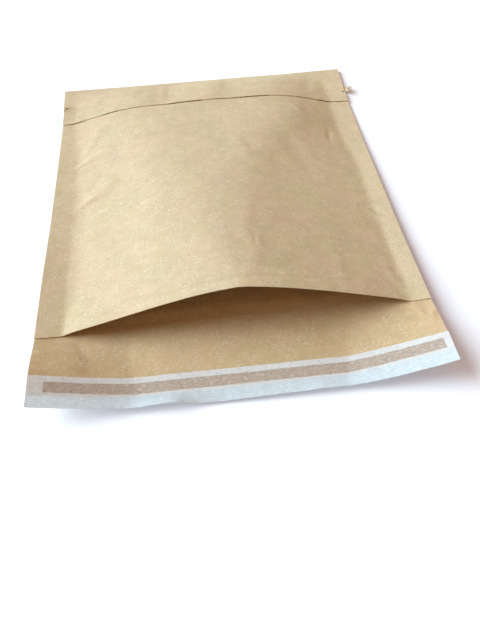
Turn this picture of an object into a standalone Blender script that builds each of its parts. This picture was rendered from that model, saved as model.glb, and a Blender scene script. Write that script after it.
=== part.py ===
"""A kraft paper padded mailer for Blender 4.5, in metres with +Z up.

The mailer lies on its back with the pocket propped open, as it looks when it has just been
filled: the flap is unfolded towards -Y with its release liner still on, and the far end is
folded over at +Y. The origin is on the underside, in the middle of the mouth's fold line.
"""

import math

import bpy
import numpy as np

# Sizes of the mailer, measured flat
WIDTH = 0.320
BODY_LENGTH = 0.380
CLOSURE_FLAP = 0.060
BOTTOM_FLAP = 0.0695
SIDE_SEAL = 0.022
KRAFT = 0.0006
CLEARANCE = 0.0003

# How the filled paper stands: heights of the front panel's underside along its crest
MOUTH_HEIGHT = 0.0425
MIDDLE_HEIGHT = 0.0300
MIDDLE_SHARE = 0.4
HEM_HEIGHT = 0.0160
LAP_HEIGHT = 0.0099
LAP_SHARE = 0.55
MOUTH_DRAW = 0.0033
HEM_DRAW = 0.0022
FLAP_PULL = 0.0028
MOUTH_PULL = 0.0010
SIDE_PULL = 0.0020

# The side seams lift off the table, most at the flap's corners
FLAT_SHARE = 0.56
FLAP_FLAT_SHARE = 0.49
LIFT_CURVE = 1.25
LINER_LIFT_LEFT = 0.0183
LINER_LIFT_RIGHT = 0.0215
FLAP_LIFT_LEFT = 0.0172
FLAP_LIFT_RIGHT = 0.0186
MOUTH_LIFT_LEFT = 0.0105
MOUTH_LIFT_RIGHT = 0.0105
HEM_LIFT_LEFT = 0.0016
HEM_LIFT_RIGHT = 0.0006
FOLD_LIFT = 0.0008

# Cross-section of the front panel at the mouth, the middle and the hem. From the crest it bends
# over by a power curve to a knee, this share of the way to the seal, and runs straight on to it.
CREST_OFFSETS = (0.009, -0.014, -0.010)
KNEE_SHARES_LEFT = (0.40, 0.44, 0.70)
KNEE_SHARES_RIGHT = (0.25, 0.37, 0.78)
BEND_POWERS_LEFT = (1.45, 2.1, 3.6)
BEND_POWERS_RIGHT = (1.6, 2.5, 7.0)

# Padding, crimped thin round its border
PADDING = 0.0022
PADDING_RIM = 0.0003
PADDING_CRIMP = 0.010
PADDING_SETBACK = 0.013
PADDING_SIDE_MARGIN = 0.008
PADDING_END_MARGIN = 0.024

# Closure strip and its release liner
ADHESIVE = 0.0002
ADHESIVE_WIDTH = 0.010
ADHESIVE_EDGE_MARGIN = 0.0025
ADHESIVE_LEFT_MARGIN = 0.0095
ADHESIVE_RIGHT_MARGIN = 0.0030
LINER = 0.0002
LINER_WIDTH = 0.030
LINER_OVERHANG = 0.012
LINER_WAVE = 0.0036
LINER_WAVE_PLACE = -0.066
LINER_WAVE_LENGTH = 0.080

# Tear tape under the bottom flap, with its frayed pull end
TAPE = 0.0003
TAPE_WIDTH = 0.007
TEAR_LINE = 0.0440
NICK_LINE_LEFT = 0.0400
NICK_LINE_RIGHT = 0.0505
NICK_DEPTH_LEFT = 0.0062
NICK_DEPTH_RIGHT = 0.0034
NICK_WIDTH = 0.0016
PULL_LENGTH = 0.0080
PULL_RISE = 0.0035
PULL_FLARE = 1.40
PULL_STRAND_SHARES = (0.80, 0.45, 1.0, 0.55, 0.85)

# Fineness of the grids
LONG_STEP = 0.027
POCKET_COLUMNS = 24
SEAL_COLUMNS = 2
FOLD_STEPS = 4
PULL_STEPS = 3
SMALLEST_STEP = 0.0004

# Places that follow from the sizes
HALF_WIDTH = WIDTH / 2
FOLD_RADIUS = (3 * KRAFT + 2 * CLEARANCE) / 2
FOLD_START = BODY_LENGTH - FOLD_RADIUS
HEM = BODY_LENGTH - BOTTOM_FLAP
TEAR_Y = BODY_LENGTH - TEAR_LINE
NICKS = {
    -1: (BODY_LENGTH - NICK_LINE_LEFT, NICK_DEPTH_LEFT),
    1: (BODY_LENGTH - NICK_LINE_RIGHT, NICK_DEPTH_RIGHT),
}
TAPE_ROOM = TAPE + 2 * CLEARANCE
SEAL_EDGE = 1 - SIDE_SEAL / HALF_WIDTH
LINER_NEAR = -CLOSURE_FLAP - LINER_OVERHANG
LINER_FAR = LINER_NEAR + LINER_WIDTH
ADHESIVE_NEAR = -CLOSURE_FLAP + ADHESIVE_EDGE_MARGIN
MIDDLE = BODY_LENGTH * MIDDLE_SHARE
PADDING_SIDE = SEAL_EDGE - PADDING_SIDE_MARGIN / HALF_WIDTH
PADDING_END = BODY_LENGTH - PADDING_END_MARGIN

# Finish of each paper, as a linear colour and a roughness
FINISHES = {
    "kraft": ((0.515, 0.365, 0.205, 1.0), 0.82),
    "kraft_lining": ((0.470, 0.335, 0.190, 1.0), 0.88),
    "closure_glue": ((0.480, 0.330, 0.235, 1.0), 0.45),
    "glassine": ((0.780, 0.820, 0.850, 1.0), 0.40),
    "tear_tape": ((0.620, 0.500, 0.340, 1.0), 0.75),
}


def clear_scene():
    """Removes the objects that the scene opens with."""
    for obj in list(bpy.data.objects):
        bpy.data.objects.remove(obj, do_unlink=True)


def smooth_curve(stations, at):
    """A curve with no overshoot through (place, value) stations, level beyond both ends."""
    place, value = np.array(sorted(stations), float).T
    step = np.diff(place)
    slope = np.diff(value) / step
    product = slope[:-1] * slope[1:]
    total = slope[:-1] + slope[1:]
    inner = np.divide(2 * product, total, out=np.zeros_like(total), where=product > 0)
    tangent = np.concatenate([slope[:1], inner, slope[-1:]])
    i = np.clip(np.searchsorted(place, at, side="right") - 1, 0, len(step) - 1)
    t = np.clip((at - place[i]) / step[i], 0, 1)
    start = value[i] * (1 + 2 * t) * (1 - t) ** 2 + value[i + 1] * t**2 * (3 - 2 * t)
    return start + step[i] * t * (1 - t) * (tangent[i] * (1 - t) - tangent[i + 1] * t)


def ease(t):
    """Runs smoothly from 0 to 1 as t does."""
    t = np.clip(t, 0, 1)
    return t * t * (3 - 2 * t)


def half_width(y):
    """Half the width of the lying mailer: the bulging pocket draws its seams together."""
    places = (LINER_NEAR, 0, MIDDLE, HEM, BODY_LENGTH)
    pulls = (FLAP_PULL, MOUTH_PULL, SIDE_PULL, SIDE_PULL, 0)
    return HALF_WIDTH - smooth_curve(tuple(zip(places, pulls)), y)


def seam_lift(right, y):
    """Height of the outer edge of a side seam above the table, at y."""
    places = (LINER_NEAR, LINER_FAR, 0, HEM, BODY_LENGTH)
    on_left = (LINER_LIFT_LEFT, FLAP_LIFT_LEFT, MOUTH_LIFT_LEFT, HEM_LIFT_LEFT, FOLD_LIFT)
    on_right = (LINER_LIFT_RIGHT, FLAP_LIFT_RIGHT, MOUTH_LIFT_RIGHT, HEM_LIFT_RIGHT, FOLD_LIFT)
    left = smooth_curve(tuple(zip(places, on_left)), y)
    return np.where(right, smooth_curve(tuple(zip(places, on_right)), y), left)


def back_height(u, y):
    """Underside of the back wall: on the table in the middle, rising to the seams. u runs -1 to 1."""
    flat = smooth_curve(((LINER_NEAR, FLAP_FLAT_SHARE), (0, FLAT_SHARE)), y)
    return seam_lift(u > 0, y) * np.clip((np.abs(u) - flat) / (1 - flat), 0, 1) ** LIFT_CURVE


def section_value(values, y):
    """Value at y of what is given at the mouth, the middle and the hem."""
    return smooth_curve(tuple(zip((0, MIDDLE, HEM), values)), y)


def crest_line(y):
    """Place across of the front panel's crest at y."""
    return section_value(CREST_OFFSETS, y) / HALF_WIDTH


def arch(u, y):
    """The pillow's rise, 1 on the crest and 0 at the inner edges of the side seals."""
    crest = crest_line(y)
    right = u > crest
    share = np.minimum(np.abs(u - crest) / np.where(right, SEAL_EDGE - crest, SEAL_EDGE + crest), 1)
    knee = np.where(right, section_value(KNEE_SHARES_RIGHT, y), section_value(KNEE_SHARES_LEFT, y))
    power = np.where(right, section_value(BEND_POWERS_RIGHT, y), section_value(BEND_POWERS_LEFT, y))
    bent = knee / power * np.minimum(share / knee, 1) ** power
    return 1 - (bent + np.maximum(share - knee, 0)) / (knee / power + 1 - knee)


def front_height(u, y):
    """Underside of the front panel: on the back wall along the seals, arched between them."""
    on_back = back_height(u, y) + KRAFT + CLEARANCE
    foot = back_height(np.sign(u - crest_line(y)) * SEAL_EDGE, y) + KRAFT + CLEARANCE
    crest = smooth_curve(
        (
            (0, MOUTH_HEIGHT),
            (MIDDLE, MIDDLE_HEIGHT),
            (HEM, HEM_HEIGHT),
            (HEM + BOTTOM_FLAP * LAP_SHARE, LAP_HEIGHT),
            (FOLD_START, KRAFT + CLEARANCE),
        ),
        y,
    )
    blend = arch(u, y)
    return np.maximum(foot * (1 - blend) + crest * blend, on_back)


def flap_gap(y):
    """Space between the front panel and the bottom flap glued over it, with room for the tape."""
    tape_far = TEAR_Y + TAPE_WIDTH / 2
    return CLEARANCE + (TAPE_ROOM - CLEARANCE) * ease((FOLD_START - y) / (FOLD_START - tape_far))


def on_back(u, y, lift):
    """Points on the back wall's plan at a height above its underside."""
    return np.stack([u * half_width(y), y, back_height(u, y) + lift], axis=-1)


def on_front(u, y, lift):
    """Points on the front panel's plan: the arch draws all but the side seals to the far fold."""
    draw = smooth_curve(((0, MOUTH_DRAW), (HEM, HEM_DRAW), (FOLD_START, 0)), y)
    inwards = ease((1 - np.abs(u)) * HALF_WIDTH / SIDE_SEAL)
    return np.stack([u * half_width(y), y + draw * inwards, front_height(u, y) + lift], axis=-1)


def stations(marks, step):
    """Sorted marks with even stations between those further apart than step."""
    marks = sorted(marks)
    kept = [marks[0]]
    for mark in marks[1:]:
        if mark - kept[-1] < SMALLEST_STEP:
            continue
        count = max(1, math.ceil((mark - kept[-1]) / step))
        kept.extend(np.linspace(kept[-1], mark, count + 1)[1:])
    return np.array(kept)


def columns():
    """Shared columns across the mailer, from the left seam's edge (-1) to the right one's (1)."""
    crimp = PADDING_SIDE - PADDING_CRIMP / HALF_WIDTH
    crest = crest_line(0)
    half = POCKET_COLUMNS // 2
    margin = np.linspace(SEAL_EDGE, 1, SEAL_COLUMNS + 1)
    right = np.concatenate([np.linspace(crest, crimp, half)[1:], [PADDING_SIDE], margin])
    left = np.concatenate([-margin[::-1], [-PADDING_SIDE], np.linspace(-crimp, crest, half)])
    return np.concatenate([left, right])


def rows():
    """Shared rows along the pocket, from the mouth to where the far fold starts."""
    marks = [
        0,
        PADDING_SETBACK,
        PADDING_SETBACK + PADDING_CRIMP,
        HEM,
        TEAR_Y + TAPE_WIDTH / 2,
        PADDING_END - PADDING_CRIMP,
        PADDING_END,
        FOLD_START,
    ]
    for place, _ in NICKS.values():
        marks += [place - NICK_WIDTH / 2, place, place + NICK_WIDTH / 2]
    return stations(marks, LONG_STEP)


def grid(across, along):
    """Two arrays, one row for each place along the mailer and one column for each across it."""
    return np.meshgrid(across, along)


def between(values, low, high):
    """The values from low to high, both ends kept."""
    slack = SMALLEST_STEP / 2
    return values[(values > low - slack) & (values < high + slack)]


def slab_mesh(name, side_a, side_b, folded_row):
    """A closed mesh between two grids of points with the same rows and columns.

    Quads split along one diagonal, so that sheets which lie on each other keep their gap. Rows
    from folded_row on run the other way over the sheet below, and take the other diagonal.
    """
    row_count, column_count = side_a.shape[:2]
    size = row_count * column_count
    index = np.arange(size).reshape(row_count, column_count)
    a, b, c, d = index[:-1, :-1], index[:-1, 1:], index[1:, 1:], index[1:, :-1]
    first = np.stack([a, d, c, b], axis=-1)
    second = np.stack([a, b, c, d], axis=-1) + size
    for quads in (first, second):
        quads[folded_row:] = np.roll(quads[folded_row:], -1, axis=-1)
    edge = np.concatenate([index[0], index[1:, -1], index[-1, -2::-1], index[-2:0:-1, 0]])
    ahead = np.roll(edge, -1)
    rim = np.stack([edge, ahead, ahead + size, edge + size], axis=-1)
    faces = np.concatenate([first.reshape(-1, 4), second.reshape(-1, 4), rim])
    points = np.concatenate([side_a.reshape(-1, 3), side_b.reshape(-1, 3)])
    mesh = bpy.data.meshes.new(name)
    mesh.from_pydata(points.tolist(), [], faces.tolist())
    mesh.validate()
    mesh.shade_smooth()
    mesh.set_sharp_from_angle(angle=math.radians(35))
    return mesh


def finish(name):
    """A paper material with the finish of this name."""
    colour, roughness = FINISHES[name]
    material = bpy.data.materials.new(name)
    material.use_nodes = True
    shader = material.node_tree.nodes["Principled BSDF"]
    shader.inputs["Base Color"].default_value = colour
    shader.inputs["Roughness"].default_value = roughness
    return material


def add_piece(name, under, over, material, parent, folded_row=None):
    """One solid piece between its under and upper sides."""
    folded_row = len(under) if folded_row is None else folded_row
    obj = bpy.data.objects.new(name, slab_mesh(name, under, over, folded_row))
    obj.data.materials.append(finish(material))
    obj.parent = parent
    bpy.context.scene.collection.objects.link(obj)
    return obj


def cut_nicks(points):
    """Draws one point of each side edge of the bottom flap inwards, which leaves V-shaped tear nicks."""
    for side, (place, depth) in NICKS.items():
        column = -1 if side > 0 else 0
        row = int(np.argmin(np.abs(points[:, column, 1] - place)))
        points[row, column, 0] -= side * depth


def back_panel(parent):
    """One kraft sheet: closure flap, back wall, the fold round the far end, bottom flap."""
    across = columns()
    pocket = rows()
    flap = stations([-CLOSURE_FLAP, ADHESIVE_NEAR, LINER_FAR, 0], LONG_STEP)
    u, y = grid(across, np.concatenate([flap[:-1], pocket]))
    outer = [on_back(u, y, 0)]
    inner = [on_back(u, y, KRAFT)]
    folded_row = len(y) + FOLD_STEPS - 1
    u, y = grid(across, [FOLD_START])
    middle = on_back(u, y, FOLD_RADIUS)
    for step in range(1, FOLD_STEPS):
        angle = math.pi * step / FOLD_STEPS - math.pi / 2
        away = np.array([0, math.cos(angle), math.sin(angle)])
        outer.append(middle + FOLD_RADIUS * away)
        inner.append(middle + (FOLD_RADIUS - KRAFT) * away)
    lap = between(pocket, HEM, FOLD_START)[::-1]
    u, y = grid(across, lap)
    under = on_front(u, y, KRAFT + flap_gap(y))
    over = on_front(u, y, 2 * KRAFT + flap_gap(y))
    cut_nicks(under)
    cut_nicks(over)
    outer = np.concatenate(outer + [over])
    inner = np.concatenate(inner + [under])
    return add_piece("back_panel", outer, inner, "kraft", parent, folded_row)


def front_panel(parent):
    """The kraft sheet glued to the back wall along both side seals and under the bottom flap."""
    u, y = grid(columns(), rows())
    return add_piece("front_panel", on_front(u, y, 0), on_front(u, y, KRAFT), "kraft", parent)


def padding_grid():
    """Columns and rows of both pads, with their thickness, crimped thin round the border."""
    across = between(columns(), -PADDING_SIDE, PADDING_SIDE)
    u, y = grid(across, between(rows(), PADDING_SETBACK, PADDING_END))
    from_side = (PADDING_SIDE - np.abs(u)) * HALF_WIDTH
    from_end = np.minimum(y - PADDING_SETBACK, PADDING_END - y)
    ramp = ease(np.minimum(from_side, from_end) / PADDING_CRIMP)
    room = (front_height(u, y) - back_height(u, y) - KRAFT - 3 * CLEARANCE) / 2
    return u, y, np.minimum(PADDING_RIM + (PADDING - PADDING_RIM) * ramp, room)


def back_padding(parent):
    """The pad laid on the inner face of the back wall."""
    u, y, thickness = padding_grid()
    under = on_back(u, y, KRAFT + CLEARANCE)
    over = on_back(u, y, KRAFT + CLEARANCE + thickness)
    return add_piece("back_padding", under, over, "kraft_lining", parent)


def front_padding(parent):
    """The pad glued to the inner face of the front panel."""
    u, y, thickness = padding_grid()
    under = on_front(u, y, -CLEARANCE - thickness)
    over = on_front(u, y, -CLEARANCE)
    return add_piece("front_padding", under, over, "kraft_lining", parent)


def strip_columns(left, right):
    """Shared columns between two places across the mailer, with the places themselves as ends."""
    across = columns()
    inside = across[(across > left + SMALLEST_STEP) & (across < right - SMALLEST_STEP)]
    return np.concatenate([[left], inside, [right]])


def closure_adhesive(parent):
    """The band of glue near the closure flap's edge."""
    left = ADHESIVE_LEFT_MARGIN / HALF_WIDTH - 1
    right = 1 - ADHESIVE_RIGHT_MARGIN / HALF_WIDTH
    u, y = grid(strip_columns(left, right), [ADHESIVE_NEAR, ADHESIVE_NEAR + ADHESIVE_WIDTH])
    under = on_back(u, y, KRAFT + CLEARANCE)
    over = on_back(u, y, KRAFT + CLEARANCE + ADHESIVE)
    return add_piece("closure_adhesive", under, over, "closure_glue", parent)


def liner_wave(u, y):
    """Rise of the liner's free edge where it has sprung into a shallow wave."""
    turns = np.clip((u * HALF_WIDTH - LINER_WAVE_PLACE) / LINER_WAVE_LENGTH, -0.5, 0.5)
    hump = 0.5 + 0.5 * np.cos(2 * math.pi * turns)
    return LINER_WAVE * hump * ease((ADHESIVE_NEAR - y) / LINER_OVERHANG)


def release_liner(parent):
    """The glassine strip over the glue, wider than the band and overhanging the flap's edge."""
    u, y = grid(columns(), stations([LINER_NEAR, -CLOSURE_FLAP, ADHESIVE_NEAR, LINER_FAR], LONG_STEP))
    base = KRAFT + 2 * CLEARANCE + ADHESIVE + liner_wave(u, y)
    return add_piece("release_liner", on_back(u, y, base), on_back(u, y, base + LINER), "glassine", parent)


def tear_tape(parent):
    """The tape under the bottom flap, from the left nick to a frayed pull end past the right seam."""
    start = (NICK_DEPTH_LEFT + CLEARANCE) / HALF_WIDTH - 1
    pull = 1 + PULL_LENGTH / HALF_WIDTH * np.arange(1, PULL_STEPS + 1) / PULL_STEPS
    across = np.concatenate([strip_columns(start, 1), pull])
    along = np.linspace(-0.5, 0.5, len(PULL_STRAND_SHARES)) * TAPE_WIDTH + TEAR_Y
    u, y = grid(across, along)
    out = np.clip((u - 1) * HALF_WIDTH / PULL_LENGTH, 0, 1)
    strand = np.array(PULL_STRAND_SHARES)[:, None]
    under = on_front(np.minimum(u, 1), y, KRAFT + CLEARANCE)
    under[..., 0] += np.clip(u - 1, 0, None) * strand * HALF_WIDTH
    under[..., 1] += (y - TEAR_Y) * (PULL_FLARE - 1) * out
    under[..., 2] += PULL_RISE * out**2
    return add_piece("tear_tape", under, under + np.array([0, 0, TAPE]), "tear_tape", parent)


def main():
    """Builds the mailer, every piece parented to one empty at the origin."""
    clear_scene()
    mailer = bpy.data.objects.new("mailer", None)
    bpy.context.scene.collection.objects.link(mailer)
    for build in (
        back_panel,
        front_panel,
        back_padding,
        front_padding,
        closure_adhesive,
        release_liner,
        tear_tape,
    ):
        build(mailer)


main()
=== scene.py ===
"""Looks of a kraft padded mailer, built in Blender 4.5 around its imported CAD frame.

The mailer lies open on its back: a bulged pocket, the closure flap with its glue band and
glassine liner, and the bottom flap folded over the far end with a tear tape under it.
Every piece is a pair of numpy grids a paper's thickness apart, laid over the same smooth
surfaces as the CAD solids, with the creases, dimples and crumple of handled paper added.
Metres, +Z up, +Y from the mouth to the far fold.
"""

import logging
import math
from dataclasses import dataclass
from enum import Enum

import bpy
import numpy as np
from mathutils import Matrix, Vector

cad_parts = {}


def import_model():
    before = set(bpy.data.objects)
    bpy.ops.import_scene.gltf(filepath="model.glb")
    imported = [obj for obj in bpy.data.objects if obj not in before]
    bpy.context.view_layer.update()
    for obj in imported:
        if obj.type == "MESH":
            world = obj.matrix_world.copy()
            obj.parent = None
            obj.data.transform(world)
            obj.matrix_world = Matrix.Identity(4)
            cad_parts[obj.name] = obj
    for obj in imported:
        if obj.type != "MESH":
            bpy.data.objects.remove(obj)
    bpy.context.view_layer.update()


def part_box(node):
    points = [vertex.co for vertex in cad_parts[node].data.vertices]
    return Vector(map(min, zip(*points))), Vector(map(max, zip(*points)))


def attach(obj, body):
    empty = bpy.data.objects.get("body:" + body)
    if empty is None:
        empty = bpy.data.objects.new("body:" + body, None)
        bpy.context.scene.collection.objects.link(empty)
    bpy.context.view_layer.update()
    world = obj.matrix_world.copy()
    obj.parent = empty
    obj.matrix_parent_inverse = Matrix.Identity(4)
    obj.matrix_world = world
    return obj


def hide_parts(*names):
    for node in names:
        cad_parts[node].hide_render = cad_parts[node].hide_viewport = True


LOG = logging.getLogger("mailer")
BODY = "root"
BOTTOM_FLAP = 0.0695  # from the far fold to the bottom flap's edge
TAPE_FROM_FOLD = 0.0440
TAPE_WIDTH = 0.0070
PAD_SIDE_PULL = 0.0020  # the pads' CAD box is this much narrower than the paper laid flat
MILLIMETRE = 0.001

Station = tuple[float, float]
Points = np.ndarray
Material = bpy.types.Material
Tree = bpy.types.NodeTree
Socket = bpy.types.NodeSocket

# The flat maps of the pieces lie this far apart, so that no two show the same patch of pattern.
APART = 1.0


class Profile(Enum):
    """The section of a crease: a rounded ridge, or a small step from one side to the other."""

    RIDGE = "ridge"
    STEP = "step"


def ease(t: Points) -> Points:
    """Runs smoothly from 0 to 1 as t does: three t squared less two t cubed."""
    t = np.clip(t, 0, 1)
    return t * t * (3 - 2 * t)


def smooth_curve(stations: tuple[Station, ...], at: Points) -> Points:
    """A curve with no overshoot through (place, value) stations, level beyond both ends.

    Between two stations it is the cubic with the harmonic mean of the slopes on either side
    as its slope at each station.

    Args:
        stations: places and the value at each.
        at: places to read the curve at.

    Returns:
        The value at each place.
    """
    place, value = np.array(sorted(stations), float).T
    step = np.diff(place)
    slope = np.diff(value) / step
    product = slope[:-1] * slope[1:]
    total = slope[:-1] + slope[1:]
    inner = np.divide(2 * product, total, out=np.zeros_like(total), where=product > 0)
    tangent = np.concatenate([slope[:1], inner, slope[-1:]])
    i = np.clip(np.searchsorted(place, at, side="right") - 1, 0, len(step) - 1)
    t = np.clip((at - place[i]) / step[i], 0, 1)
    start = value[i] * (1 + 2 * t) * (1 - t) ** 2 + value[i + 1] * t**2 * (3 - 2 * t)
    return start + step[i] * t * (1 - t) * (tangent[i] * (1 - t) - tangent[i + 1] * t)


def soft_noise(x: Points, y: Points, size: float, seed: int) -> Points:
    """Smooth noise from -1 to 1: random values on a square lattice, eased between its corners.

    Args:
        x: places across, in metres.
        y: places along, in metres.
        size: lattice spacing in metres.
        seed: seed of the random values.

    Returns:
        The noise at each place.
    """
    count = 64
    lattice = np.random.default_rng(seed).uniform(-1, 1, (count, count))
    gx, gy = x / size + count / 2, y / size + count / 2
    ix, iy = np.floor(gx).astype(int), np.floor(gy).astype(int)
    fx, fy = ease(gx - ix), ease(gy - iy)
    near = lattice[iy % count, ix % count] * (1 - fx) + lattice[iy % count, (ix + 1) % count] * fx
    far = lattice[(iy + 1) % count, ix % count] * (1 - fx)
    far = far + lattice[(iy + 1) % count, (ix + 1) % count] * fx
    return near * (1 - fy) + far * fy


@dataclass(frozen=True)
class Crease:
    """A crease pressed into the paper along a line of points, in metres seen from above.

    Its half width grows evenly along the line, to flare times as much at the end.
    """

    line: tuple[Station, ...]
    height: float
    half_width: float
    profile: Profile = Profile.RIDGE
    flare: float = 1.0

    def relief(self, x: Points, y: Points) -> Points:
        """Height that the crease adds.

        Across the line it is a bell, exp of minus the squared distance over the half width,
        and for a step also the sign of the side. Along it, it tapers to nothing at both ends
        as four s times one less s, raised to 0.6, where s is the share of the length, raised
        to one over the root of the flare so that a flaring crease is highest near its start.

        Args:
            x: places across, in metres.
            y: places along, in metres.

        Returns:
            The added height at each place.
        """
        nearest = np.full(np.shape(x), np.inf)
        along, side, before = np.zeros(np.shape(x)), np.zeros(np.shape(x)), 0.0
        for (x0, y0), (x1, y1) in zip(self.line, self.line[1:]):
            dx, dy = x1 - x0, y1 - y0
            length = math.hypot(dx, dy)
            t = np.clip(((x - x0) * dx + (y - y0) * dy) / length**2, 0, 1)
            off_x, off_y = x - x0 - t * dx, y - y0 - t * dy
            distance = np.hypot(off_x, off_y)
            nearer = distance < nearest
            nearest = np.where(nearer, distance, nearest)
            along = np.where(nearer, before + t * length, along)
            side = np.where(nearer, dx * off_y - dy * off_x, side)
            before += length
        share = along / before
        leaning = np.clip(share, 0, 1) ** (1 / math.sqrt(self.flare))
        taper = np.clip(4 * leaning * (1 - leaning), 0, 1) ** 0.6
        off = nearest / (self.half_width * (1 + (self.flare - 1) * share))
        bell = np.exp(-(off**2))
        if self.profile is Profile.STEP:
            bell = bell * np.tanh(3 * np.sign(side) * off)
        return self.height * taper * bell


@dataclass(frozen=True)
class Crumple:
    """The fine unevenness of handled paper: a few sizes of soft noise on each other."""

    octaves: tuple[tuple[float, float], ...]
    seed: int

    def relief(self, x: Points, y: Points) -> Points:
        """Sum of soft noises, each with its own lattice size and height."""
        sizes = enumerate(self.octaves)
        return sum(height * soft_noise(x, y, size, self.seed + n) for n, (size, height) in sizes)


def millimetres(*points: Station) -> tuple[Station, ...]:
    """Points given in millimetres, in metres."""
    return tuple((x * MILLIMETRE, y * MILLIMETRE) for x, y in points)


FRONT_CREASES = (
    Crease(millimetres((7, -6), (11, 15), (21, 35), (23, 59), (16, 81), (22, 109), (30, 140)), 0.0004, 0.006),
    Crease(millimetres((25.3, 72), (25.6, 54)), 0.0004, 0.0022, Profile.STEP),
    Crease(millimetres((20, 240), (33, 197), (54, 210)), 0.0006, 0.006),
    Crease(millimetres((-139, 229), (-120, 239), (-100, 246)), 0.0011, 0.0020, flare=3.5),
    Crease(millimetres((-134, 163), (-115, 174), (-95, 191)), 0.0014, 0.0022, flare=4.5),
    Crease(millimetres((-139, 146), (-120, 150), (-96, 158)), -0.0006, 0.0040, flare=2.5),
    Crease(millimetres((-130, 250), (-124, 262), (-116, 286)), 0.0006, 0.0030, flare=2.0),
    Crease(millimetres((-86, 222), (-70, 192)), 0.0007, 0.008),
    Crease(millimetres((-139, 128), (-112, 110)), 0.0006, 0.005),
    Crease(millimetres((-139, 70), (-104, 62)), 0.0005, 0.006),
    Crease(millimetres((-138, 205), (-118, 196)), 0.0005, 0.005),
    Crease(millimetres((-60, 290), (-44, 250)), 0.0004, 0.008),
    Crease(millimetres((125, 256), (122, 232)), -0.0008, 0.0026),
    Crease(millimetres((92, 296), (100, 280)), 0.0006, 0.0030),
    Crease(millimetres((104, 300), (110, 286)), -0.0004, 0.0026),
    Crease(millimetres((146, 110), (140, 115), (130, 121)), 0.0007, 0.0030),
    Crease(millimetres((146, 122), (134, 127), (127, 125)), -0.0006, 0.0028),
    Crease(millimetres((93, 96), (92.6, 57), (90, 14)), 0.0003, 0.006),
    Crease(millimetres((130, 44), (137, 28), (143, 14), (146, 2)), 0.0005, 0.0040),
    Crease(millimetres((-138, 14), (-65, 13), (28, 17), (79, 19), (146, 25)), 0.0005, 0.0030, Profile.STEP),
    Crease(millimetres((60, 270), (84, 200), (96, 150)), -0.0005, 0.010),
)

LAP_CREASES = (
    Crease(millimetres((-44, 306), (-39, 396)), -0.0020, 0.018),
    Crease(millimetres((6, 306), (9, 396)), 0.0012, 0.015),
    Crease(millimetres((19, 318), (21, 392)), -0.0004, 0.005),
    Crease(millimetres((72, 306), (80, 396)), 0.0008, 0.018),
    Crease(millimetres((-48, 318), (-45, 378)), 0.0005, 0.004),
    Crease(millimetres((-74, 330), (-64, 374)), -0.0004, 0.007),
    Crease(millimetres((18, 330), (21, 379)), 0.0005, 0.004),
    Crease(millimetres((34, 335), (27, 378)), -0.0004, 0.006),
    Crease(millimetres((112, 325), (124, 366)), -0.0006, 0.007),
    Crease(millimetres((-128, 328), (-112, 360)), 0.0004, 0.006),
)

BACK_CREASES = (
    Crease(millimetres((142, -2), (147, -9), (149, -20)), 0.0009, 0.0022),
    Crease(millimetres((139, -6), (150, -12), (159, -14)), -0.0007, 0.0020),
    Crease(millimetres((160, -8), (155, -17), (152, -28)), 0.0008, 0.0022),
    Crease(millimetres((128, -3), (134, -22)), 0.0005, 0.0030),
    Crease(millimetres((-158, -16), (-138, -18)), 0.0006, 0.0026),
    Crease(millimetres((-150, -30), (-118, -36)), 0.0005, 0.0040),
    Crease(millimetres((-128, -4), (-112, -30)), -0.0005, 0.0040),
)


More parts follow.
